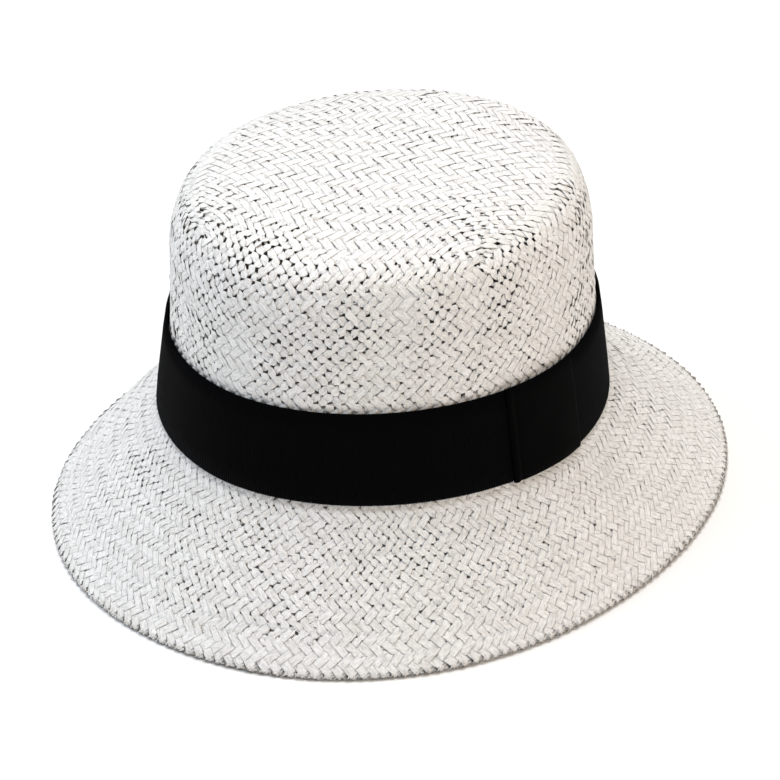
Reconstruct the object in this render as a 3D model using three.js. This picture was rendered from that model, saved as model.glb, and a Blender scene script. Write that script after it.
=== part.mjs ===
// A woven raffia bucket hat lying on a flat surface, crown up and front towards -Y.
// The straw body is woven in one piece from the middle of the tip out to the rim, and its rim is
// turned under as a hem. A ribbon goes round the foot of the crown, and a folded tab wraps the
// ribbon on the wearer's left (+X), where the ribbon's ends meet. Millimetres, +Z up.
import * as THREE from 'three';

// The straw
const STRAW_WALL = 2.2; // two crossing strands of flattened paper raffia
const HEM_WALL = 2 * STRAW_WALL; // the turned edge lies double
const HEM_FOOT = 0.67; // share of the hem's width that is clear of the surface underneath
const RIM_ROUNDING = 1.2; // the fold at the very edge

// The ribbon band and its tab
const GAP = 0.3; // air between pieces that lie on each other
const RIBBON_THICKNESS = 1.0;
const TAB_THICKNESS = 1.3; // two layers of folded cloth
const TAB_OVERHANG = 0.7; // how far the tab's folds stand past the ribbon's edges
const TAB_CENTRE = 86.5; // degrees round from the front, towards the wearer's left
const TAB_WIDTH = 24.5; // degrees

// The block that the hat is shaped on, from the middle of the tip to the rim. Each row is an oval
// of the body's outer face, front to back 2 x halfDepth and side to side 2 x halfWidth.
const BLOCK = [
  { at: 'tip centre', halfWidth: 0, halfDepth: 0, height: 154.9 },
  { at: 'tip middle', halfWidth: 30.0, halfDepth: 36.5, height: 153.9 },
  { at: 'tip edge', halfWidth: 58.2, halfDepth: 70.8, height: 150.6 },
  { at: 'shoulder', halfWidth: 73.8, halfDepth: 86.4, height: 144.2 },
  { at: 'side top', halfWidth: 79.9, halfDepth: 92.5, height: 131.0 },
  { at: 'side middle', halfWidth: 81.3, halfDepth: 94.4, height: 109.5 },
  { at: 'ribbon top', halfWidth: 82.3, halfDepth: 95.9, height: 90.1 },
  { at: 'ribbon middle', halfWidth: 84.7, halfDepth: 97.0, height: 69.6 },
  { at: 'ribbon foot', halfWidth: 88.4, halfDepth: 99.0, height: 49.1 },
  { at: 'brim root', halfWidth: 94.2, halfDepth: 106.6, height: 42.2 },
  { at: 'brim middle', halfWidth: 112.0, halfDepth: 129.6, height: 22.4 },
  { at: 'hem edge', halfWidth: 122.9, halfDepth: 143.8, height: 8.7 },
  { at: 'rim', halfWidth: 128.8, halfDepth: 151.4, height: RIM_ROUNDING },
];

// How the ovals stand on each other. The front of an oval stands higher than its back, by slope x
// its depth, and its middle lies in front of the rim's middle by lead. A fullness of 2 is a plain
// ellipse, and a greater one is squarer.
const STANCE = [
  { height: RIM_ROUNDING, slope: 0, lead: 0, fullness: 2.1 },
  { height: 49.1, slope: 0.039, lead: 6.1, fullness: 1.9 },
  { height: 90.1, slope: 0.039, lead: 6.1, fullness: 1.9 },
  { height: 154.9, slope: 0.033, lead: 8.0, fullness: 1.95 },
];

// How finely the faceted walls follow the true curves
const STEPS_ROUND = 72;
const STEPS_PER_ROW = 2;

const blockCurve = new THREE.CatmullRomCurve3(
  BLOCK.map((row) => new THREE.Vector3(row.halfWidth, row.halfDepth, row.height)),
  false,
  'centripetal',
);

function stanceAt(height) {
  const above = STANCE.findIndex((row) => row.height >= height);
  const upper = above < 0 ? STANCE.length - 1 : Math.max(above, 1);
  const low = STANCE[upper - 1];
  const high = STANCE[upper];
  const share = THREE.MathUtils.clamp((height - low.height) / (high.height - low.height), 0, 1);
  return {
    slope: THREE.MathUtils.lerp(low.slope, high.slope, share),
    lead: THREE.MathUtils.lerp(low.lead, high.lead, share),
    fullness: THREE.MathUtils.lerp(low.fullness, high.fullness, share),
  };
}

function oval(halfWidth, halfDepth, height) {
  return { halfWidth, halfDepth, height, ...stanceAt(height) };
}

function signedPower(value, power) {
  return Math.sign(value) * Math.abs(value) ** power;
}

// The point of an oval at an angle round from the front, towards the wearer's left.
function pointOn(row, angle) {
  const power = 2 / row.fullness;
  const across = row.halfWidth * signedPower(Math.sin(angle), power);
  const along = -row.halfDepth * signedPower(Math.cos(angle), power);
  return new THREE.Vector3(across, along - row.lead, row.height - row.slope * along);
}

// An oval of the body, set into the wall by inset. Its place counts the rows of the block from the
// tip, so that 7.5 lies half-way between rows 7 and 8.
function bodyOval(place, inset) {
  const share = place / (BLOCK.length - 1);
  const point = blockCurve.getPoint(share);
  if (place === 0) {
    return oval(0, 0, point.z - inset);
  }
  const tangent = blockCurve.getTangent(share);
  const outward = new THREE.Vector2(-tangent.z, (tangent.x + tangent.y) / 2).normalize();
  return oval(
    point.x - inset * outward.x,
    point.y - inset * outward.x,
    point.z - inset * outward.y,
  );
}

// The profile is turned on a lathe, and each of its turned circles is then pressed to its oval.
function pressToOvals(ovals) {
  const profile = ovals.map((row) => new THREE.Vector2(row.halfWidth, row.height));
  const geometry = new THREE.LatheGeometry(profile, STEPS_ROUND);
  const position = geometry.attributes.position;
  for (let index = 0; index < position.count; index += 1) {
    const turn = Math.floor(index / ovals.length) % STEPS_ROUND;
    const point = pointOn(ovals[index % ovals.length], (2 * Math.PI * turn) / STEPS_ROUND);
    position.setXYZ(index, point.x, point.y, point.z);
  }
  geometry.computeVertexNormals();
  return geometry;
}

function blockRow(name) {
  return BLOCK.findIndex((row) => row.at === name);
}

// The ovals of one face of the wall, from the tip's middle out to a row of the block.
function wallFace(lastRow, inset) {
  const steps = lastRow * STEPS_PER_ROW;
  return Array.from({ length: steps + 1 }, (_, step) => bodyOval(step / STEPS_PER_ROW, inset));
}

// The profile runs down the inside from the tip to the rim, and back up the outside.
function strawBody() {
  const hemEdge = blockRow('hem edge');
  const rimRow = blockRow('rim');
  const rim = BLOCK[rimRow];
  return pressToOvals([
    ...wallFace(hemEdge, STRAW_WALL),
    bodyOval(hemEdge, HEM_WALL),
    bodyOval(hemEdge + HEM_FOOT, HEM_WALL),
    oval(rim.halfWidth - HEM_WALL, rim.halfDepth - HEM_WALL, 0),
    oval(rim.halfWidth - RIM_ROUNDING, rim.halfDepth - RIM_ROUNDING, 0),
    ...wallFace(rimRow, 0).reverse(),
  ]);
}

// The ribbon's face at a share of its width from foot to top, clear of the straw by lift.
function ribbonOval(share, lift) {
  const foot = BLOCK[blockRow('ribbon foot')];
  const top = BLOCK[blockRow('ribbon top')];
  return oval(
    THREE.MathUtils.lerp(foot.halfWidth, top.halfWidth, share) + lift,
    THREE.MathUtils.lerp(foot.halfDepth, top.halfDepth, share) + lift,
    THREE.MathUtils.lerp(foot.height, top.height, share),
  );
}

function ribbonBand() {
  const inside = GAP;
  const outside = GAP + RIBBON_THICKNESS;
  return pressToOvals([
    ribbonOval(0, outside),
    ribbonOval(1, outside),
    ribbonOval(1, inside),
    ribbonOval(0, inside),
    ribbonOval(0, outside),
  ]);
}

// The tab is a flat folded strip, bent round the ribbon: its width becomes an angle round the hat.
function foldedTab() {
  const ribbonHeight = ribbonOval(1, 0).height - ribbonOval(0, 0).height;
  const overhang = TAB_OVERHANG / ribbonHeight;
  const strip = new THREE.BoxGeometry(TAB_WIDTH, 1, 1, 10, 1, 1);
  const position = strip.attributes.position;
  for (let index = 0; index < position.count; index += 1) {
    const angle = THREE.MathUtils.degToRad(TAB_CENTRE + position.getX(index));
    const up = position.getY(index) > 0 ? 1 + overhang : -overhang;
    const out = position.getZ(index) > 0 ? TAB_THICKNESS : 0;
    const point = pointOn(ribbonOval(up, 2 * GAP + RIBBON_THICKNESS + out), angle);
    position.setXYZ(index, point.x, point.y, point.z);
  }
  strip.computeVertexNormals();
  return strip;
}

function piece(name, geometry, finish) {
  const mesh = new THREE.Mesh(geometry, new THREE.MeshStandardMaterial({ metalness: 0, ...finish }));
  mesh.name = name;
  return mesh;
}

const group = new THREE.Group();
group.add(piece('straw_body', strawBody(), { color: 0xf4f2ed, roughness: 0.75 }));
group.add(piece('ribbon_band', ribbonBand(), { color: 0x0b0b0c, roughness: 0.6 }));
group.add(piece('band_tab', foldedTab(), { color: 0x0e0e0f, roughness: 0.5 }));

export default group;
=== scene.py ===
import math

import bpy
import numpy as np
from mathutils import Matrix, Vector


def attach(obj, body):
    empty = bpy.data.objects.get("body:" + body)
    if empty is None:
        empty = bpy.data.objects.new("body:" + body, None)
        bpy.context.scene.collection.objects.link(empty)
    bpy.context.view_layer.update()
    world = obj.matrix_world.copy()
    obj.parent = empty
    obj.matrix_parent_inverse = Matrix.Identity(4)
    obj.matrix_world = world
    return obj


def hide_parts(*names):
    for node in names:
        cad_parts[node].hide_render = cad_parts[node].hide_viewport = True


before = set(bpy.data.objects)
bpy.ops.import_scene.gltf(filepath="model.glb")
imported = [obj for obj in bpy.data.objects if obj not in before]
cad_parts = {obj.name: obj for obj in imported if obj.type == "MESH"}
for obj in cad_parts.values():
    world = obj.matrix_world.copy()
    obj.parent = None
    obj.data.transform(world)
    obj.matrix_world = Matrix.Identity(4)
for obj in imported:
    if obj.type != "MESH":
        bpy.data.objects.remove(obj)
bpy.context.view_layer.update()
scene = bpy.context.scene
scene.view_settings.view_transform = "Standard"

# ---------------------------------------------------------------- camera
# A long lens nearly two metres away, above the wearer's front left and unrolled. It looks at
# the middle of the hat.
bpy.ops.object.select_all(action="DESELECT")
sight = Vector((0.001944, -0.004600, 0.045708))
stand = Vector((0.993345, -1.268980, 1.059104))
bpy.ops.object.camera_add(location=stand)
camera = bpy.context.object
camera.name = "studio_camera"
camera.rotation_euler = (sight - stand).to_track_quat("-Z", "Y").to_euler()
camera.data.sensor_width = 36.0
camera.data.lens = 214.19
camera.data.clip_start, camera.data.clip_end = 0.1, 20.0
scene.camera = camera

# ---------------------------------------------------------------- crown tip
# The flat top of the crown. The hat is one cloth of white paper raffia, each strand over
# two and under two. Its middle is woven flat, and from the shoulder it goes in rounds.

# the hat block from the tip's middle down to the rim: half width, half depth, height, in mm
BLOCK = np.array([
    (0.0, 0.0, 154.9), (30.0, 36.5, 153.9), (58.2, 70.8, 150.6), (73.8, 86.4, 144.2),
    (79.9, 92.5, 131.0), (81.3, 94.4, 109.5), (82.3, 95.9, 90.1), (84.7, 97.0, 69.6),
    (88.4, 99.0, 49.1), (94.2, 106.6, 42.2), (112.0, 129.6, 22.4), (122.9, 143.8, 8.7),
    (128.8, 151.4, 1.2)]) / 1000
# how its ovals lie: height in mm, slope up to the front, lead to the front in mm, and
# fullness, where 2 is a true ellipse
STANCE = np.array([
    (1.2, 0.0, 0.0, 2.1), (49.1, 0.039, 6.1, 1.9), (90.1, 0.039, 6.1, 1.9),
    (154.9, 0.033, 8.0, 1.95)]) * (0.001, 1, 0.001, 1)


def faired(stops, steps):
    """A smooth run through the stops, at even steps between each two."""
    ends = np.vstack([2 * stops[0] - stops[1], stops, 2 * stops[-1] - stops[-2]])
    run = []
    for before, here, there, after in zip(ends, ends[1:], ends[2:], ends[3:]):
        gaps = [np.linalg.norm(b - a) ** 0.5 for a, b in
                ((before, here), (here, there), (there, after))]
        leave = ((here - before) / gaps[0] - (there - before) / (gaps[0] + gaps[1])
                 + (there - here) / gaps[1]) * gaps[1]
        reach = ((there - here) / gaps[1] - (after - here) / (gaps[1] + gaps[2])
                 + (after - there) / gaps[2]) * gaps[1]
        for w in np.arange(steps)[:, None] / steps:
            run.append(here + leave * w + (3 * (there - here) - 2 * leave - reach) * w ** 2
                       + (2 * (here - there) + leave + reach) * w ** 3)
    return np.vstack(run + [stops[-1:]])


def mean_normals(across, up):
    """Outward normals of the mean profile, as (across, up)."""
    run = np.stack([np.gradient(across), np.gradient(up)], 1)
    run /= np.linalg.norm(run, axis=1)[:, None]
    return np.stack([-run[:, 1], run[:, 0]], 1)


def oval_ring(half_width, half_depth, height, turn):
    """Points of the hat's oval at this height, turned from the front to the wearer's left."""
    slope, lead, fullness = (np.interp(height, STANCE[:, 0], STANCE[:, k]) for k in (1, 2, 3))
    side, fore = np.sin(turn), np.cos(turn)
    x = half_width * np.sign(side) * np.abs(side) ** (2 / fullness)
    along = -half_depth * np.sign(fore) * np.abs(fore) ** (2 / fullness)
    return np.stack([x, along - lead, height - slope * along], -1)


def run_along(line):
    """How far along the line each of its points lies."""
    return np.append(0, np.cumsum(np.linalg.norm(np.diff(line, axis=0), axis=1)))


# the middle of the cloth's thickness, from the tip to the rim, round the fold and back under
# the hem: mean distance from the upright axis, and height
FAIRING_STEPS = 16              # between each two stops of the block
CLOTH_HALF = 0.00065
BLOCKED_DOWN_TO = 0.0086        # the height where the cloth leaves the block for its fold
FOLD_AT = np.array((0.1388, 0.0017))    # what it folds round: distance out, height
FOLD_STEPS = 13
HEM_DEPTH, HEM_STEPS = 0.0095, 19
TIP_START = 0.0004              # the smallest oval, short of the very middle
outer = faired(BLOCK, FAIRING_STEPS)
radius, spread = (outer[:, 0] + outer[:, 1]) / 2, (outer[:, 1] - outer[:, 0]) / 2
normals = mean_normals(radius, outer[:, 2])
normals[0] = (0, 1)
middle = np.stack([radius, outer[:, 2]], 1) - normals * CLOTH_HALF
on_block = outer[:, 2] > BLOCKED_DOWN_TO
middle, spread_run = middle[on_block], spread[on_block]
fold_from = len(middle)
last = FOLD_AT - middle[-1]
last /= np.linalg.norm(last)
fold_normal = np.array((-last[1], last[0]))
fold = [FOLD_AT + CLOTH_HALF * (fold_normal * math.cos(a) + last * math.sin(a))
        for a in np.linspace(0, math.pi, FOLD_STEPS)]
back_run = [FOLD_AT - CLOTH_HALF * fold_normal - last * d
            for d in np.arange(1, HEM_STEPS + 1) / HEM_STEPS * HEM_DEPTH]
middle = np.vstack([middle, fold, back_run])
spread_run = np.append(spread_run, np.full(FOLD_STEPS + HEM_STEPS, spread[-1]))
middle[0, 0] = TIP_START
travel = run_along(middle)

# the same as a surface: places and outward normals, in even rows down and even steps round
ROW_STEP = 0.0006
AROUND = 1440
ROUND_WITHIN = 0.03             # nearer the tip's middle than this, the ovals become round
ROW_ON_TIP = 20                 # a row of the flat tip, where outwards is up
rows_at = np.arange(0, travel[-1], ROW_STEP)
profile = np.stack([np.interp(rows_at, travel, values)
                    for values in (middle[:, 0], middle[:, 1], spread_run)], 1)
fine = np.linspace(0, 2 * math.pi, 4 * AROUND + 1)
cloth = np.zeros((len(rows_at), AROUND + 1, 3))
girth = np.zeros(len(rows_at))
for row, (r, z, e) in enumerate(profile):
    ease = min(1.0, r / ROUND_WITHIN)
    ring = oval_ring(r - e * ease, r + e * ease, z, fine)
    run_to = run_along(ring)
    girth[row] = run_to[-1]
    even = np.linspace(0, 1, AROUND + 1) * run_to[-1]
    cloth[row] = np.stack([np.interp(even, run_to, ring[:, c]) for c in range(3)], 1)
down = np.gradient(cloth, axis=0)
right = np.gradient(cloth, axis=1)
right[:, 0] = right[:, -1] = cloth[:, 1] - cloth[:, -2]
cloth_out = np.cross(down, right)
cloth_out[0] = cloth_out[1]
cloth_out /= np.linalg.norm(cloth_out, axis=2)[:, :, None]
cloth_out *= np.sign(cloth_out[ROW_ON_TIP, 0, 2])


def between(grid, i, j):
    """What the grid gives between its points, at i rows down and j steps across."""
    i0, j0 = np.floor(i).astype(int), np.floor(j).astype(int)
    wi, wj = (i - i0)[..., None], (j - j0)[..., None]
    return (grid[i0, j0] * (1 - wj) + grid[i0, j0 + 1] * wj) * (1 - wi) \
        + (grid[i0 + 1, j0] * (1 - wj) + grid[i0 + 1, j0 + 1] * wj) * wi


def on_cloth(s, turn):
    """Place and outward normal at the distance s from the tip's middle, turn of a round."""
    i = np.clip(s / ROW_STEP, 0, len(rows_at) - 1.001)
    # the second % is for a turn so little below 0 that the first one rounds it up to 1
    j = (turn % 1.0) * AROUND % AROUND
    place, out = between(cloth, i, j), between(cloth_out, i, j)
    return place, out / np.linalg.norm(out, axis=-1)[..., None]


# the rounds of the weave: how far from the tip's middle each lies, and how many floats it has
TIP_ROUNDS, SIDE_ROUNDS, BRIM_ROUNDS, HEM_ROUNDS = 14, 20, 15, 4
TIP_PITCH, SIDE_PITCH = 0.00608, 0.0049
MIDDLE = TIP_ROUNDS - 0.75      # the round by which the flat-woven middle has become round
round_at = np.concatenate([
    TIP_PITCH * (0.25 + np.arange(TIP_ROUNDS)),
    TIP_PITCH * MIDDLE + SIDE_PITCH * np.arange(1, SIDE_ROUNDS + 1)])
brim_from = round_at[-1]
rim_at = travel[fold_from + FOLD_STEPS // 2]
BRIM_PITCH = (rim_at - brim_from) / (BRIM_ROUNDS + 0.5)
round_at = np.append(
    round_at, brim_from + BRIM_PITCH * np.arange(1, BRIM_ROUNDS + HEM_ROUNDS + 1))
ROUNDS = len(round_at)
TOP_FLOATS, FOOT_FLOATS, RIM_FLOATS = 108, 135, 200
FOOT_WIDENS = 9                 # the last rounds of the side, over which the foot widens
BRIM_BELL = 0.85                # under 1, most new strands join near the brim's top
foot = np.clip(np.arange(SIDE_ROUNDS) - (SIDE_ROUNDS - 1 - FOOT_WIDENS), 0, FOOT_WIDENS)
down_brim = np.arange(1, BRIM_ROUNDS + 1) / BRIM_ROUNDS
floats_in = np.concatenate([
    np.full(TIP_ROUNDS, TOP_FLOATS),
    TOP_FLOATS + np.round(foot * (FOOT_FLOATS - TOP_FLOATS) / FOOT_WIDENS),
    np.round(FOOT_FLOATS + (RIM_FLOATS - FOOT_FLOATS) * down_brim ** BRIM_BELL),
    np.full(HEM_ROUNDS, RIM_FLOATS)]).astype(int)

# new strands join each round where the count grows; the crowding eases out over the next rounds
GRID = 2880                     # steps round the hat in which the floats are counted
SPREAD_OUT = 0.618              # of a round's new strands, so that joins don't line up
CROWDING_LEFT = 0.88            # what the next round keeps of it
JOIN_WIDTH, EASING_WIDTH = 1.7, 0.8     # in floats
rng = np.random.default_rng(41)
grid_turn = np.arange(GRID) / GRID
shift = np.zeros((ROUNDS, GRID))
phase = np.zeros((ROUNDS, GRID + 1))


def eased(values, width):
    """Values smoothed round the hat over this share of a round."""
    waves_round = np.fft.rfftfreq(GRID, 1 / GRID)
    kept = np.exp(-0.5 * (2 * math.pi * waves_round * width) ** 2)
    return np.fft.irfft(np.fft.rfft(values) * kept, GRID)


for n in range(ROUNDS):
    if n:
        count = floats_in[n - 1]
        crowding = shift[n - 1] * CROWDING_LEFT
        new = floats_in[n] - count
        for k in range(new):
            where = (k + n * SPREAD_OUT + rng.uniform(-0.3, 0.3)) / new % 1
            off = (grid_turn - where + 0.5) % 1 - 0.5
            step = np.clip(off / (JOIN_WIDTH / count) * 0.5 + 0.5, 0, 1)
            crowding += step * step * (3 - 2 * step) - off - 0.5 + (0.5 - where)
        shift[n] = eased(crowding, EASING_WIDTH / count)
    shift[n] = shift[n] - np.round(shift[n].mean())
    phase[n] = floats_in[n] * np.arange(GRID + 1) / GRID + np.append(shift[n], shift[n][0])


def slipped(n, m):
    """How far round m's floats have slipped from round n's, in floats."""
    slip = phase[min(max(m, 0), ROUNDS - 1)] - phase[n]
    return slip - np.round(slip)


# slow waves round the hat: how many to a round, start, drift from round to round, height
row_waves = [(k, rng.uniform(0, 2 * math.pi), rng.uniform(-0.9, 0.9),
              rng.normal(0, 1) / k ** 0.5) for k in range(2, 26)]
loose_waves = [(rng.integers(1, 24), rng.uniform(0, 2 * math.pi), rng.uniform(-0.8, 0.8),
                rng.normal(0, 1)) for _ in range(26)]


def wandering(turn, n, waves):
    """A slow unevenness over the hat, about -2 to 2."""
    total = sum(a * np.sin(2 * math.pi * k * turn + p + w * n) for k, p, w, a in waves)
    return total / math.sqrt(sum(a * a for _, _, _, a in waves) / 2)


# how open the weave is: round, looseness there
LOOSE_BY_ROUND = np.array([
    (0, 0.08), (11.5, 0.14), (14, 0.7), (23, 0.74), (33, 0.26), (37, 0.2), (43, 0.12),
    (47, 0.08)])
LOOSE_WANDERS, LOOSEST = 0.6, 1.2
# the spots pulled further open: turn, round, reach in turns, reach in rounds, how much
LOOSE_SPOTS = (
    (0.99, 13.4, 0.075, 2.0, 1.0), (0.93, 12.5, 0.04, 2.2, 0.8), (0.01, 10.4, 0.03, 1.4, 0.6),
    (0.09, 12.6, 0.09, 1.0, 0.5), (0.22, 11.5, 0.05, 2.6, 0.7), (0.24, 8.8, 0.04, 1.2, 0.5),
    (0.09, 40.0, 0.13, 6.0, 0.45), (0.03, 37.0, 0.05, 1.6, 0.5), (0.93, 37.0, 0.03, 1.6, 0.3))
# the pressed hem: round, share of the looseness left
HEM_PRESSED = np.array([(45, 1), (48, 0.2)])


def looseness(turn, n):
    """How open the weave is here, from 0, tight, up to about 1."""
    loose = np.interp(n, *LOOSE_BY_ROUND.T)
    loose = np.clip(loose * (1 + LOOSE_WANDERS * wandering(turn, n, loose_waves)), 0, LOOSEST)
    for at_turn, at_round, wide, tall, more in LOOSE_SPOTS:
        aside = ((turn - at_turn + 0.5) % 1 - 0.5) / wide
        loose = loose + more * np.exp(-aside ** 2 - ((n - at_round) / tall) ** 2)
    return loose * np.interp(n, *HEM_PRESSED.T)


# A float is the stretch of a strand from where it comes up to where it goes under, which are
# its stops -1 and 1. Its section is in shares of its width and its thickness.
OUTER_STOPS = np.array((-1.42, -1.0, -0.7, -0.35, 0.0, 0.35, 0.7, 1.0, 1.42))
OUTER_SECTION = np.array(((-0.5, 0.30), (-0.38, 0.44), (0.0, 0.51), (0.38, 0.44),
                          (0.5, 0.30), (0.0, -0.45)))
INNER_STOPS = np.array((-1.25, -0.5, 0.0, 0.5, 1.25))
INNER_SECTION = np.array(((-0.5, 0.0), (-0.27, 0.5), (0.27, 0.5), (0.5, 0.0),
                          (0.27, -0.5), (-0.27, -0.5)))
ROUND_SWAY, ROUND_SKEW = 0.038, 0.028       # in floats
MIDDLE_SWAY, MIDDLE_SKEW = 0.045, 0.03      # in strands
ROW_WAVER, FLOAT_DROP = 0.00028, 0.00012
FOLD_ROUNDS = range(ROUNDS - HEM_ROUNDS - 2, ROUNDS - HEM_ROUNDS + 1)
FOLD_FILLED = 1.08              # how much fuller the floats lie where the edge turns


def stops_along(stops, count):
    """The stops of each float, for one a little longer or shorter and slid along its line."""
    return stops[None, :] * rng.uniform(0.94, 1.05, (count, 1)) + rng.normal(0, 0.05, (count, 1))


def round_layout(n, on_top, stops):
    """The floats of one closed round: distance out, turn, stops, room from one strand to the
    next, looseness, and the hand of the stagger with the next float, 1 or -1."""
    # every other round leans the other way, and so does the inside
    lean = 1 if (n % 2 == 0) == on_top else -1
    rest = 0.75 if lean > 0 else 0.25
    wanted = math.ceil(phase[n][0] - rest) + rest + np.arange(floats_in[n])
    turn = np.interp(wanted, phase[n], np.arange(GRID + 1) / GRID)
    cell = (turn * GRID).astype(int) % GRID
    rate = (phase[n][cell + 1] - phase[n][cell]) * GRID
    slip_up, slip_down = slipped(n, n - 1)[cell], slipped(n, n + 1)[cell]
    count = len(turn)
    t = stops_along(stops, count)
    slip = np.where(t < 0, slip_up[:, None], slip_down[:, None]) * np.abs(t) / 2
    sway = rng.normal(0, ROUND_SWAY, (count, 1)) + rng.normal(0, ROUND_SKEW, (count, 1)) * t
    place = turn[:, None] + (lean * 0.5 * t - slip + sway) / rate[:, None]
    here, above = round_at[n], round_at[n - 1]
    below = round_at[n + 1] if n < ROUNDS - 1 else here + BRIM_PITCH
    s = here + np.where(t < 0, (here - above) / 2, (below - here) / 2) * t
    s = s + ROW_WAVER * wandering(turn, n, row_waves)[:, None] \
        + rng.normal(0, FLOAT_DROP, (count, 1))
    apart = np.interp(here, rows_at, girth) / rate
    if n in FOLD_ROUNDS:
        apart = apart * FOLD_FILLED
    half_run = (below - above) / 4
    room = apart * half_run / np.hypot(half_run, apart / 2)
    return s, place, t, room, looseness(turn, n), np.full(count, -lean)


# the flat-woven middle, whose places are counted in floats, u along its rows and v across them
MIDDLE_TURN = 7.5 / TOP_FLOATS  # how far it is turned to meet the rounds
STRAIGHT_TO = 11.5              # how far out its rows stay straight
SQUARE_CORNER = 0.25            # how far a square's corners are drawn round, in floats
DRAWN_IN = 0.13                 # how much narrower than deep it is drawn, at its very middle
REACH = 2 * TIP_ROUNDS + 6
SETTLED_WITHIN = 2 * MIDDLE - 1.2       # in strands
SETTLINGS = 12


def eased_squares(u, v):
    """The flat-woven middle in plan: its squares ease into rounds towards the shoulder."""
    ring = np.maximum(np.maximum(np.abs(u), np.abs(v)), 1e-6)
    side = np.where(np.abs(u) > np.abs(v), np.where(u > 0, 1, 3), np.where(v >= 0, 0, 2))
    x = np.choose(side, (u, -v, -u, v))
    ease = np.clip(ring / MIDDLE, 0, 1)
    ease = ease * ease * (3 - 2 * ease)
    inner_ring = np.minimum(ring, MIDDLE)
    corner = SQUARE_CORNER * np.clip(np.abs(x) - ring + 1, 0, 1) * np.sign(x)
    turn = side / 4 + (1 - ease) * np.arctan2(x, ring) / (2 * math.pi) \
        + ease * (x + corner) / (8 * inner_ring + 2)
    s = TIP_PITCH * inner_ring * (1 + (1 - ease) * (np.hypot(1, x / ring) - 1))
    s = s + SIDE_PITCH * (ring - inner_ring)
    along = s * np.sin(2 * math.pi * turn) * (1 - DRAWN_IN * (1 - ease))
    return np.stack([along, s * np.cos(2 * math.pi * turn)], -1)


def past_straight(u, v):
    """Whether a place is past the straight rows, to either side or at the back."""
    return (np.abs(u) >= STRAIGHT_TO) | (v <= -STRAIGHT_TO)


# where each pair of its strands crosses, drawn out even by the weaver's hands
strand_i, strand_j = np.mgrid[-REACH:REACH + 1, -REACH:REACH + 1]
strand_u, strand_v = (strand_i + strand_j) / 2, (strand_j - strand_i) / 2
crossings = eased_squares(strand_u, strand_v)
settled = 2 * np.maximum(np.abs(strand_u), np.abs(strand_v)) < SETTLED_WITHIN
for _ in range(SETTLINGS):
    beside = (np.roll(crossings, 1, 0) + np.roll(crossings, -1, 0)
              + np.roll(crossings, 1, 1) + np.roll(crossings, -1, 1)) / 4
    crossings = np.where(settled[..., None], (crossings + beside) / 2, crossings)

# which of the two is on top there: a straight twill, whose diagonal turns with the rounds past
# the straight rows
over = (strand_j - strand_i) % 4 < 2
past = past_straight(strand_u, strand_v)
over = np.where(past & (strand_v < 0) & (np.abs(strand_v) >= np.abs(strand_u)),
                (strand_i - strand_j) % 4 < 2, over)
over = np.where(past & (np.abs(strand_u) > np.abs(strand_v)),
                (np.sign(strand_u).astype(int) * (strand_i + strand_j)) % 4 >= 2, over)


def in_middle(u, v):
    """Distance out and turn of a place in the flat-woven middle."""
    in_plan = between(crossings, u - v + REACH, u + v + REACH)
    along, across = in_plan[..., 0], in_plan[..., 1]
    return np.hypot(along, across), np.arctan2(along, across) / (2 * math.pi) + MIDDLE_TURN


def middle_layout(on_top, stops):
    """The floats of the flat-woven middle, laid out as round_layout does."""
    runs = []
    for family, crossing in ((0, over), (1, ~over.T)):
        for strand, row in enumerate(crossing == on_top):
            edges = np.flatnonzero(np.diff(np.concatenate([[False], row, [False]])))
            for first, after in zip(edges[::2], edges[1::2]):
                centre = (first + after - 1) / 2
                runs.append((family, strand - REACH, centre - REACH, after - first))
    family, strand, centre, length = np.array(runs).T
    u, v = (strand + centre) / 2, (centre - strand) / 2 * np.where(family == 0, 1, -1)
    keep = np.maximum(np.abs(u), np.abs(v)) < MIDDLE + 0.5
    family, strand, centre, length = (a[keep][:, None] for a in (family, strand, centre, length))
    count = len(family)

    # each float along its strand: its stops stretched to its length, and plain past its ends
    t = stops_along(stops, count)
    beyond = np.sign(t) * (length / 2 - 1 + np.abs(t))
    run = centre + np.where(np.abs(t) < 1, t * length / 2, beyond)
    line_at = strand + rng.normal(0, MIDDLE_SWAY, (count, 1)) \
        + rng.normal(0, MIDDLE_SKEW, (count, 1)) * t
    way = np.where(family == 0, 1, -1)
    s, place = in_middle((line_at + run) / 2, (run - line_at) / 2 * way)

    # the room beside it, from the strands either side
    near = []
    for side_step, run_step in ((0.5, 0), (-0.5, 0), (0, 0.5), (0, -0.5)):
        a, b = strand[:, 0] + side_step, centre[:, 0] + run_step
        near.append(on_cloth(*in_middle((a + b) / 2, (b - a) / 2 * way[:, 0]))[0])
    beside, ahead = near[0] - near[1], near[2] - near[3]
    room = np.linalg.norm(np.cross(beside, ahead), axis=1) / np.linalg.norm(ahead, axis=1)
    ring = np.maximum(np.abs((strand + centre) / 2), np.abs((centre - strand) / 2))[:, 0]
    turned = past_straight(u[keep], v[keep]) & (np.abs(u[keep]) > np.abs(v[keep]))
    hand = np.where(family[:, 0] == 0, -1, 1) * np.where(turned, -1, 1)
    return (s + rng.normal(0, FLOAT_DROP, (count, 1)), place, t, room,
            looseness(place.mean(axis=1), ring), hand)


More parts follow.
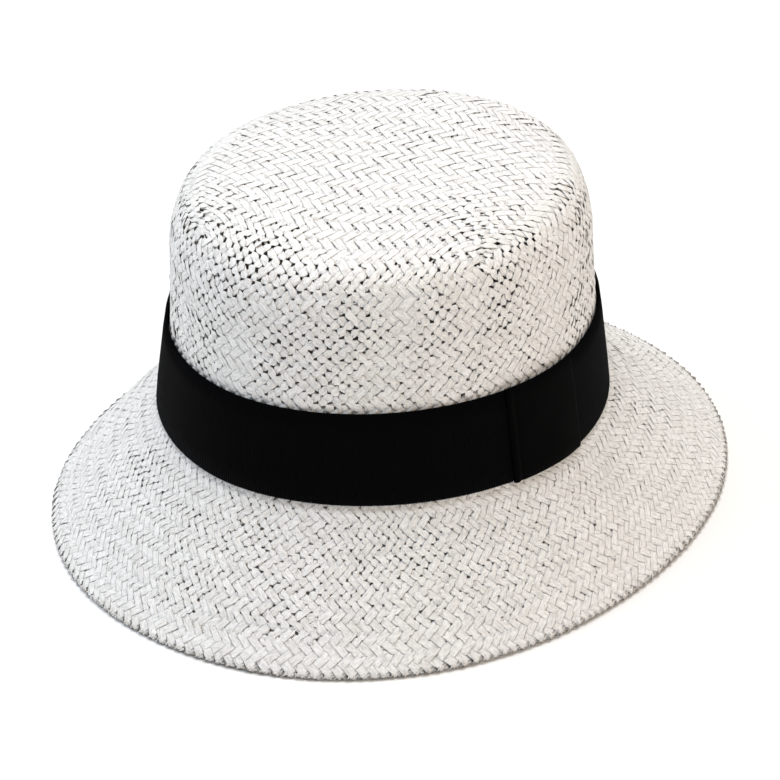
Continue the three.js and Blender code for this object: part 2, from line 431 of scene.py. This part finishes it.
NEAREST = 0.0003                # to the tip's very middle
FLOAT_RISE = 0.00026
CREST, FALL = 0.33, 1.34        # level so far from its middle, and falling over so much more
PLUMP, PLUMP_LOOSE, PLUMPEST = 0.48, 0.66, 1.1
OUTER_FULL, INNER_FULL, LOOSE_THINS = 1.2, 0.62, 0.08   # widths, in shares of the room
PINCHED_SHARE, PINCHED_TO = 0.03, (0.72, 0.88)
NARROWEST, WIDEST = 0.0014, 0.0042
WIDTH_ALONG = np.array([(0, 0.97), (0.7, 1.0), (1.45, 0.86)])   # stop, share of the width
STRAND_THICK = 0.00054
ROLL, ROLL_LOOSE, ROLL_MOST = 0.015, 0.085, 0.09
ROLL_TWIST = 0.6                # between its ends, in shares of its roll
CREASE_DEPTH = 0.8
# the unevenness of floats, one to the next, and of each along itself, in shares
RISE_VARIES = 0.05
WIDTH_VARIES, WIDTH_WAVERS, EDGE_WAVERS = 0.035, 0.03, 0.03
THICKNESS_VARIES, THICKNESS_WAVERS = 0.09, 0.05
CREASE_VARIES, CREASE_WAVERS = 0.09, 0.04
# the little gaps beside a float, where four strands meet: on each side, one at its middle and
# one at an end
GAP_REACH = 0.32                # along the float, in stops
GAP_SPREAD = (1.4, 0.3)         # the form and size of their gamma distribution
GAP_TIGHT, GAP_LOOSE = 0.05, 2.3
GAP_DRAWN, GAP_CLOSED = 1.15, 0.12
GAP_MOST, GAP_MOST_LOOSE = 0.33, 0.38       # in shares of the half width


def floats_of(layouts, on_top, stops, section):
    """Every float of these layouts, outside or inside: points, tone and length."""
    points, tones, runs = [], [], []
    for s, place, t, room, loose, hand in layouts:
        count = len(s)

        # its line, up over its crossings and down under the next ones
        p, out = on_cloth(np.maximum(s, NEAREST), place)
        fall = np.cos(math.pi * np.clip((np.abs(t) - CREST) / FALL, 0, 1))
        plump = np.clip(PLUMP + PLUMP_LOOSE * loose, 0, PLUMPEST)[:, None]
        rise = (1 if on_top else -1) * FLOAT_RISE * plump \
            * (fall + rng.normal(0, RISE_VARIES, (count, 1)))
        p = p + out * rise[..., None]
        along = np.gradient(p, axis=1)
        along /= np.linalg.norm(along, axis=2)[..., None]
        side = np.cross(along, out)
        side /= np.linalg.norm(side, axis=2)[..., None]
        out = np.cross(side, along)

        # its width, thickness and roll
        full = OUTER_FULL if on_top else INNER_FULL
        wide = room * (full - LOOSE_THINS * loose + rng.normal(0, WIDTH_VARIES, count))
        pinched = rng.random(count) < PINCHED_SHARE
        wide = np.where(pinched, wide * rng.uniform(*PINCHED_TO, count), wide)
        wide = np.clip(wide, NARROWEST, WIDEST)[:, None] \
            * (1 + rng.normal(0, WIDTH_WAVERS, t.shape))
        wide = wide * np.interp(np.abs(stops), *WIDTH_ALONG.T)[None, :]
        thick = STRAND_THICK * plump * (1 + rng.normal(0, THICKNESS_VARIES, (count, 1))) \
            * (1 + rng.normal(0, THICKNESS_WAVERS, t.shape))
        roll = rng.normal(0, 1, (count, 1)) + rng.normal(0, ROLL_TWIST, (count, 1)) * t
        roll = roll * np.clip(ROLL + ROLL_LOOSE * loose, 0, ROLL_MOST)[:, None]

        # its section at each stop, creased
        ox = section[None, None, :, 0] * wide[..., None]
        oz = section[None, None, :, 1] * thick[..., None]
        crease = rng.normal(0, CREASE_VARIES, (count, 1, len(section))) \
            + rng.normal(0, CREASE_WAVERS, ox.shape)
        oz = oz + crease * thick[..., None] * CREASE_DEPTH
        ox = ox * (1 + rng.normal(0, EDGE_WAVERS, ox.shape))

        # the gaps beside it
        on_right = section[None, None, :, 0] > 0
        beyond = np.where(on_right, hand[:, None, None], -hand[:, None, None]) \
            * stops[None, :, None]
        gaps = np.clip(1 - np.minimum(np.abs(beyond), np.abs(beyond - 1)) / GAP_REACH, 0, 1)
        loose = loose[:, None, None]
        depth = rng.gamma(*GAP_SPREAD, ox.shape[:2] + (2,)) * (GAP_TIGHT + GAP_LOOSE * loose)
        depth = np.clip(GAP_DRAWN * depth - GAP_CLOSED, 0,
                        GAP_MOST + GAP_MOST_LOOSE * np.minimum(loose, LOOSEST))
        ox = ox * (1 - gaps * np.where(on_right, depth[..., 1:], depth[..., :1]))

        c, z = np.cos(roll)[..., None], np.sin(roll)[..., None]
        ox, oz = ox * c - oz * z, ox * z + oz * c
        points.append(p[:, :, None] + side[:, :, None] * ox[..., None]
                      + out[:, :, None] * oz[..., None])
        tones.append(rng.random(count))
        lengths = np.cumsum(np.linalg.norm(np.diff(p, axis=1), axis=2), axis=1)
        runs.append(np.append(np.zeros((count, 1)), lengths, axis=1)
                    + rng.uniform(0, 4, (count, 1)))
    return np.vstack(points), np.concatenate(tones), np.vstack(runs)


def woven_piece(name, layers):
    """One mesh of closed floats, with its own strand map and tones. A layer is its rounds, or
    None for the flat-woven middle, whether it is outside, its stops and its section."""
    verts, loops, totals, uvs, tone, inside = [], [], [], [], [], []
    first = 0
    for rounds, on_top, stop_set, section in layers:
        layouts = [middle_layout(on_top, stop_set)] if rounds is None else [
            round_layout(n, on_top, stop_set) for n in rounds]
        tubes, tones, runs = floats_of(layouts, on_top, stop_set, section)
        tubes[..., 2] = np.maximum(tubes[..., 2], 0)    # pressed flat where the hat rests
        count, stops, sides, _ = tubes.shape
        ids = first + np.arange(count * stops * sides).reshape(count, stops, sides)
        a, b = ids[:, :-1], ids[:, 1:]
        a1, b1 = np.roll(a, -1, axis=2), np.roll(b, -1, axis=2)
        quads = np.stack([a, b, b1, a1], -1).reshape(-1, 4)
        caps = np.vstack([ids[:, 0], ids[:, -1, ::-1]])

        # the strand map: u round the strand, v along it in millimetres
        u0 = np.broadcast_to(np.arange(sides) / sides, a.shape)
        u1 = u0 + 1 / sides
        v0, v1 = (np.broadcast_to(ends[..., None] * 1000, a.shape)
                  for ends in (runs[:, :-1], runs[:, 1:]))
        quad_uv = np.stack([np.stack(corner, -1) for corner in
                            ((u0, v0), (u0, v1), (u1, v1), (u1, v0))], -2).reshape(-1, 2)
        verts.append(tubes.reshape(-1, 3))
        loops += [quads.ravel(), caps.ravel()]
        uvs += [quad_uv, np.zeros((caps.size, 2))]
        totals += [np.full(len(quads), 4), np.full(len(caps), sides)]
        tone.append(np.repeat(tones, stops * sides))
        # the undersides, which the raffia paints a darker brown as painted shade
        inside.append(np.tile((section[:, 1] < -0.2).astype(float), count * stops))
        first += count * stops * sides
    verts, loops, totals = np.vstack(verts), np.concatenate(loops), np.concatenate(totals)
    mesh = bpy.data.meshes.new(name)
    mesh.vertices.add(len(verts))
    mesh.vertices.foreach_set("co", verts.ravel())
    mesh.loops.add(len(loops))
    mesh.loops.foreach_set("vertex_index", loops)
    mesh.polygons.add(len(totals))
    mesh.polygons.foreach_set("loop_start", np.append(0, np.cumsum(totals)[:-1]))
    mesh.polygons.foreach_set("use_smooth", np.ones(len(totals), dtype=bool))
    mesh.uv_layers.new(name="strand").data.foreach_set("uv", np.vstack(uvs).ravel())
    for attribute, values in (("tone", tone), ("inside", inside)):
        layer = mesh.attributes.new(attribute, "FLOAT", "POINT")
        layer.data.foreach_set("value", np.concatenate(values))
    mesh.update(calc_edges=True)
    mesh.validate()
    piece = bpy.data.objects.new(name, mesh)
    scene.collection.objects.link(piece)
    piece.data.materials.append(raffia)
    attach(piece, "root")
    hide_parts("straw_body")
    return piece


def new_node(tree, kind, values=(), **settings):
    """A node with these settings, and then these values on its sockets."""
    node = tree.nodes.new(kind)
    for name, setting in settings.items():
        setattr(node, name, setting)
    for socket, value in dict(values).items():
        node.inputs[socket].default_value = value
    return node


def wire(tree, *links):
    """Links between nodes, each as a node, its output, the next node and its input."""
    for source, output, target, socket in links:
        tree.links.new(source.outputs[output], target.inputs[socket])


def colour_ramp(tree, *stops):
    """A ramp between two colours, each at its place from 0 to 1."""
    ramp = new_node(tree, "ShaderNodeValToRGB")
    for element, (position, colour) in zip(ramp.color_ramp.elements, stops):
        element.position = position
        element.color = (*colour, 1)
    return ramp


# the marks of the fibres, drawn out along a strand or a yarn, and the roughness they give; on
# the raffia their mask also darkens the colour in the creases, as painted shade
fibre_marks = bpy.data.node_groups.new("fibre_marks", "ShaderNodeTree")
for socket, kind in (("Vector", "Vector"), ("Stretch", "Vector"), ("Scale", "Float"),
                     ("Detail", "Float"), ("Coarseness", "Float"), ("Smoothest", "Float"),
                     ("Roughest", "Float")):
    fibre_marks.interface.new_socket(socket, in_out="INPUT", socket_type="NodeSocket" + kind)
for socket in ("Mask", "Roughness"):
    fibre_marks.interface.new_socket(socket, in_out="OUTPUT", socket_type="NodeSocketFloat")
given = new_node(fibre_marks, "NodeGroupInput")
result = new_node(fibre_marks, "NodeGroupOutput")
stretched = new_node(fibre_marks, "ShaderNodeMapping")
marks = new_node(fibre_marks, "ShaderNodeTexNoise")
worn = new_node(fibre_marks, "ShaderNodeMapRange")
wire(fibre_marks,
     (given, "Vector", stretched, "Vector"), (given, "Stretch", stretched, "Scale"),
     (stretched, "Vector", marks, "Vector"), (given, "Scale", marks, "Scale"),
     (given, "Detail", marks, "Detail"), (given, "Coarseness", marks, "Roughness"),
     (marks, "Fac", worn, "Value"), (given, "Smoothest", worn, "To Min"),
     (given, "Roughest", worn, "To Max"),
     (marks, "Fac", result, "Mask"), (worn, "Result", result, "Roughness"))


def fibrous(name, strand_map, gloss, fibres, relief):
    """A material whose roughness and relief come from its fibres, still without its colour.
    Gives the material, its shader and its fibre marks."""
    material = bpy.data.materials.new(name)
    material.use_nodes = True
    tree = material.node_tree
    shader = tree.nodes["Principled BSDF"]
    for socket, value in gloss.items():
        shader.inputs[socket].default_value = value
    mapped = new_node(tree, "ShaderNodeUVMap", uv_map=strand_map)
    fibre = new_node(tree, "ShaderNodeGroup", fibres, node_tree=fibre_marks)
    bump = new_node(tree, "ShaderNodeBump", relief)
    wire(tree,
         (mapped, "UV", fibre, "Vector"), (fibre, "Roughness", shader, "Roughness"),
         (fibre, "Mask", bump, "Height"), (bump, "Normal", shader, "Normal"))
    return material, shader, fibre


# bleached paper raffia: a matt white strip, gathered and pressed flat, with creases along it,
# which are darkened with painted shade
raffia, skin, creases = fibrous(
    "bleached_raffia", "strand",
    {"Specular IOR Level": 0.35, "Sheen Weight": 0.08, "Sheen Roughness": 0.5,
     "Subsurface Weight": 0.2, "Subsurface Radius": (1.0, 0.93, 0.85),
     "Subsurface Scale": 0.0004},
    {"Stretch": (11.0, 0.4, 1.0), "Scale": 1.0, "Detail": 3.0, "Coarseness": 0.6,
     "Smoothest": 0.5, "Roughest": 0.72},
    {"Strength": 0.8, "Distance": 0.0006})
tree = raffia.node_tree
tone_of = new_node(tree, "ShaderNodeAttribute", attribute_name="tone")
shade = colour_ramp(tree, (0.0, (0.89, 0.882, 0.865)), (1.0, (0.965, 0.962, 0.955)))
# the creases' mask darkens the colour down to 0.7 where the relief is low: painted shade in the
# creases
crease_painted_shade = new_node(
    tree, "ShaderNodeMapRange",
    {"From Min": 0.3, "From Max": 0.58, "To Min": 0.7, "To Max": 1.0})
creased = new_node(tree, "ShaderNodeMix", {"Factor": 1.0}, data_type="RGBA",
                   blend_type="MULTIPLY")
# the floats' undersides, marked inside, are mixed to a darker brown: painted shade for the hat's
# dark inside and the holes through the weave
inner = new_node(tree, "ShaderNodeAttribute", attribute_name="inside")
underside_painted_shade = new_node(tree, "ShaderNodeMix", {"B": (0.52, 0.45, 0.37, 1)}, data_type="RGBA")
wire(tree,
     (tone_of, "Fac", shade, "Fac"), (creases, "Mask", crease_painted_shade, "Value"),
     (shade, "Color", creased, "A"), (crease_painted_shade, "Result", creased, "B"),
     (inner, "Fac", underside_painted_shade, "Factor"), (creased, "Result", underside_painted_shade, "A"),
     (underside_painted_shade, "Result", skin, "Base Color"))


def both_layers(rounds):
    """The outer and the inner floats of these rounds."""
    return [(rounds, True, OUTER_STOPS, OUTER_SECTION),
            (rounds, False, INNER_STOPS, INNER_SECTION)]


woven_piece("crown_tip_weave", both_layers(None))

# ---------------------------------------------------------------- crown side
# The upright side of the crown down to the ribbon, in the same cloth and with no seam. It is
# drawn down damp over the block, so the count of strands stays even and the weave opens.
OPEN_SIDE_ROUNDS, COVERED_ROUNDS = 11, 8
ribbon_from = TIP_ROUNDS + OPEN_SIDE_ROUNDS
ribbon_to = ribbon_from + COVERED_ROUNDS
woven_piece("crown_side_weave", both_layers(range(TIP_ROUNDS, ribbon_from)))

# ---------------------------------------------------------------- headline
# The foot of the crown, where the same cloth starts to widen for the brim. The ribbon covers
# it, so its outer floats are simple ones.
COVERED_STOPS = np.array((-1.3, -0.5, 0.5, 1.3))
COVERED_SECTION = np.array(((-0.5, 0.0), (0.0, 0.5), (0.5, 0.0), (0.0, -0.5)))
covered = range(ribbon_from, ribbon_to)
woven_piece("headline_weave", [(covered, True, COVERED_STOPS, COVERED_SECTION),
                               (covered, False, INNER_STOPS, INNER_SECTION)])

# ---------------------------------------------------------------- brim
# The bell brim, in the same cloth, drawn out wider with new strands let in at each round. It
# is kept as two pieces, an upper and a lower, only for their size.
UPPER_BRIM_ROUNDS, LOWER_BRIM_ROUNDS = 7, 6
lower_from = ribbon_to + UPPER_BRIM_ROUNDS
edge_from = lower_from + LOWER_BRIM_ROUNDS
woven_piece("brim_upper_weave", both_layers(range(ribbon_to, lower_from)))
woven_piece("brim_lower_weave", both_layers(range(lower_from, edge_from)))

# ---------------------------------------------------------------- rim hem
# The edge of the same cloth, turned under once and pressed flat. The hat rests on the fold,
# and what lies under it is in simpler floats.
HEM_STOPS = np.array((-1.35, -0.85, -0.35, 0.35, 0.85, 1.35))
under_from = TIP_ROUNDS + SIDE_ROUNDS + BRIM_ROUNDS + 1
woven_piece("rim_hem_weave", [
    (range(edge_from, under_from), True, OUTER_STOPS, OUTER_SECTION),
    (range(under_from, ROUNDS), True, HEM_STOPS, INNER_SECTION),
    (range(edge_from, ROUNDS), False, COVERED_STOPS, COVERED_SECTION)])

# ---------------------------------------------------------------- ribbon
# A black corded ribbon, 40 mm wide, drawn tight round the foot of the crown. Its ends
# butt together under the tab at the wearer's left.
RIBS, PER_RIB, RIBBON_ROWS = 560, 4, 5
rib_height, edge_tucked, edge_scallop = 0.00007, 0.00025, 0.00013
ribbon_thick = 0.0009
ribbon_lift = 0.0019            # its outer face off the block
ribbon_join, join_gap = math.radians(86.5), 0.0004
left_dip = 0.0006               # how far its top edge dips at the wearer's left
# the block's ovals at its lower and its upper edge: half width, half depth, height
ribbon_low = np.array((0.0884, 0.0990, 0.0486))
ribbon_high = np.array((0.0823, 0.0959, 0.0888))
ribbon_rise = ribbon_high - ribbon_low
width = np.linalg.norm((ribbon_rise[:2].mean(), ribbon_rise[2]))
ribbon_away = np.array((ribbon_rise[2], -ribbon_rise[:2].mean()))
ribbon_away /= np.linalg.norm(ribbon_away)
fine_turn = np.linspace(0, 2 * math.pi, 8 * AROUND + 1)
run_round = run_along(oval_ring(*(ribbon_low + ribbon_rise / 2), fine_turn))
ribbon_round = run_round[-1]
join_at = np.interp(ribbon_join, fine_turn, run_round)


def on_ribbon(along, across, lift):
    """The place along and across the ribbon, from its join, lifted off the block."""
    turn = np.interp((join_at + along) % ribbon_round, run_round, fine_turn)
    w = across / width
    a, b, h = (ribbon_low[k] + ribbon_rise[k] * w + lift * ribbon_away[1 if k == 2 else 0]
               for k in range(3))
    h = h - left_dip * np.clip(np.sin(turn), 0, 1) * w
    return oval_ring(a, b, h, turn)


def flat_cloth(name, columns, rows):
    """A flat piece of cloth, with each point's share of the way along and across it."""
    bpy.ops.object.select_all(action="DESELECT")
    bpy.ops.mesh.primitive_grid_add(x_subdivisions=columns, y_subdivisions=rows, size=1)
    piece = bpy.context.object
    piece.name = name
    flat = np.zeros(len(piece.data.vertices) * 3)
    piece.data.vertices.foreach_get("co", flat)
    return piece, flat[::3] + 0.5, flat[1::3] + 0.5


def laid(piece, places, thickness):
    """Lays the cloth at these places, and gives it its thickness on the side of the crown."""
    piece.data.vertices.foreach_set("co", places.ravel())
    piece.data.update()
    solid = piece.modifiers.new("thickness", "SOLIDIFY")
    solid.thickness = thickness
    solid.offset = -1.0
    bpy.ops.object.modifier_apply(modifier="thickness")


def dyed_black(piece, name, gloss, yarn, relief, dyes):
    """Gives the piece a black cloth, with its dye uneven between two shades."""
    strand_map = piece.data.uv_layers[0].name
    cloth_of, shader, fibre = fibrous(name, strand_map, gloss, yarn, relief)
    dye = colour_ramp(cloth_of.node_tree, (0.3, dyes[0]), (0.7, dyes[1]))
    wire(cloth_of.node_tree, (fibre, "Mask", dye, "Fac"), (dye, "Color", shader, "Base Color"))
    piece.data.materials.append(cloth_of)


ribbon, along, across = flat_cloth("corded_ribbon", RIBS * PER_RIB, RIBBON_ROWS)
bpy.ops.object.shade_smooth()
rib = np.cos(2 * math.pi * RIBS * along)
at_edge = np.abs(across - 0.5) > 0.49
lift = ribbon_lift + rib_height * rib - edge_tucked * at_edge
along = along * (ribbon_round - join_gap) + join_gap / 2
across = across * width + np.where(at_edge, edge_scallop * rib * np.sign(across - 0.5), 0)
laid(ribbon, on_ribbon(along, across, lift), ribbon_thick)
dyed_black(
    ribbon, "black_corded_ribbon",
    {"Specular IOR Level": 0.02, "Sheen Weight": 0.013, "Sheen Roughness": 0.35,
     "Sheen Tint": (0.85, 0.9, 1.0, 1)},
    {"Stretch": (RIBS, 130.0, 1.0), "Scale": 1.3, "Detail": 2.0, "Coarseness": 0.5,
     "Smoothest": 0.62, "Roughest": 0.8},
    {"Strength": 0.5, "Distance": 0.0001},
    ((0.0009, 0.0009, 0.0011), (0.0022, 0.0022, 0.0027)))
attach(ribbon, "root")
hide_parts("ribbon_band")

# ---------------------------------------------------------------- tab
# A bare tab of close-woven black cloth, folded round the ribbon over its join. Its
# front edge is folded under, so it stands up in a ridge with a stitched valley beside it.
tab_front, tab_back = -0.0212, 0.0184       # along the ribbon from its join
tab_width = tab_back - tab_front
tab_over = 0.0008               # past each edge of the ribbon
tab_thick = 0.0009
tab_lift = ribbon_lift + 0.0002
tab_rise = 0.0011
tab_cols, tab_rows = 44, 14
edge_roll, rolled_within = 0.0008, 0.0026
pucker, pucker_along, pucker_across = 0.00012, 260, 150
# its ridge and valley: distance from the front edge, share of tab_rise
tab_shape = np.array([
    (0, 0.35), (0.0005, 1.15), (0.0013, 1.5), (0.0024, 1.4), (0.0031, 1.0), (0.0036, 0.75),
    (0.0043, 1.0), (0.03, 1.05), (tab_width - 0.0007, 1.0), (tab_width, 0.45)])
tab, along, across = flat_cloth("bare_tab", tab_cols, tab_rows)
from_front = along * tab_width
across = across * (width + 2 * tab_over) - tab_over
lift = tab_lift + np.interp(from_front, tab_shape[:, 0], tab_shape[:, 1] * tab_rise)
from_end = np.minimum(across + tab_over, width + tab_over - across)
lift -= edge_roll * np.clip(1 - from_end / rolled_within, 0, 1) ** 2
lift += pucker * np.sin(from_front * pucker_along + 1.1) * np.sin(across * pucker_across + 0.4)
laid(tab, on_ribbon(from_front + tab_front, across, lift), tab_thick)
soft_edge = tab.modifiers.new("tab_edges", "BEVEL")
soft_edge.width = 0.0003
soft_edge.segments = 2
soft_edge.limit_method = "ANGLE"
soft_edge.angle_limit = math.radians(50)
bpy.ops.object.modifier_apply(modifier="tab_edges")
bpy.ops.object.shade_smooth_by_angle(angle=math.radians(60))
dyed_black(
    tab, "black_tab_cloth",
    {"Specular IOR Level": 0.015, "Sheen Weight": 0.004, "Sheen Roughness": 0.4},
    {"Stretch": (92.0, 105.0, 1.0), "Scale": 1.0, "Detail": 2.0, "Coarseness": 0.5,
     "Smoothest": 0.55, "Roughest": 0.75},
    {"Strength": 0.5, "Distance": 0.00008},
    ((0.0008, 0.0008, 0.0009), (0.002, 0.002, 0.0022)))
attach(tab, "root")
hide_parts("band_tab")

# ---------------------------------------------------------------- studio
# A plain white floor in white air, under a broad overhead light. A warm light fills from the
# wearer's left, and a cool one from the front right.
FLOOR_SIZE, FLOOR_HEIGHT = 12.0, -0.0002
bpy.ops.object.select_all(action="DESELECT")
bpy.ops.mesh.primitive_plane_add(size=FLOOR_SIZE, location=(0, 0, FLOOR_HEIGHT))
floor = bpy.context.object
floor.name = "studio_floor"
white = bpy.data.materials.new("studio_white")
white.use_nodes = True
for socket, value in (("Base Color", (0.93, 0.93, 0.93, 1)), ("Roughness", 0.9),
                      ("Specular IOR Level", 0.1)):
    white.node_tree.nodes["Principled BSDF"].inputs[socket].default_value = value
floor.data.materials.append(white)
world = bpy.data.worlds.new("studio_air")
scene.world = world
world.use_nodes = True
world.node_tree.nodes["Background"].inputs["Color"].default_value = (1, 1, 1, 1)
world.node_tree.nodes["Background"].inputs["Strength"].default_value = 0.39
# square soft boxes that look at the hat: name, place, size, power, colour
lit_at = Vector((0, 0, 0.08))
for name, place, size, power, colour in (
        ("overhead_box", (-0.35, 0.15, 2.2), 1.6, 37.5, (1.0, 0.98, 0.96)),
        ("warm_side_box", (1.9, 0.2, 1.1), 1.2, 11.5, (1.0, 0.76, 0.5)),
        ("cool_side_box", (-1.1, -1.2, 2.0), 1.2, 14.5, (0.72, 0.85, 1.0))):
    bpy.ops.object.light_add(type="AREA", location=place)
    lamp = bpy.context.object
    lamp.name = name
    lamp.data.size = size
    lamp.data.energy = power
    lamp.data.color = colour
    lamp.rotation_euler = (lit_at - Vector(place)).to_track_quat("-Z", "Y").to_euler()
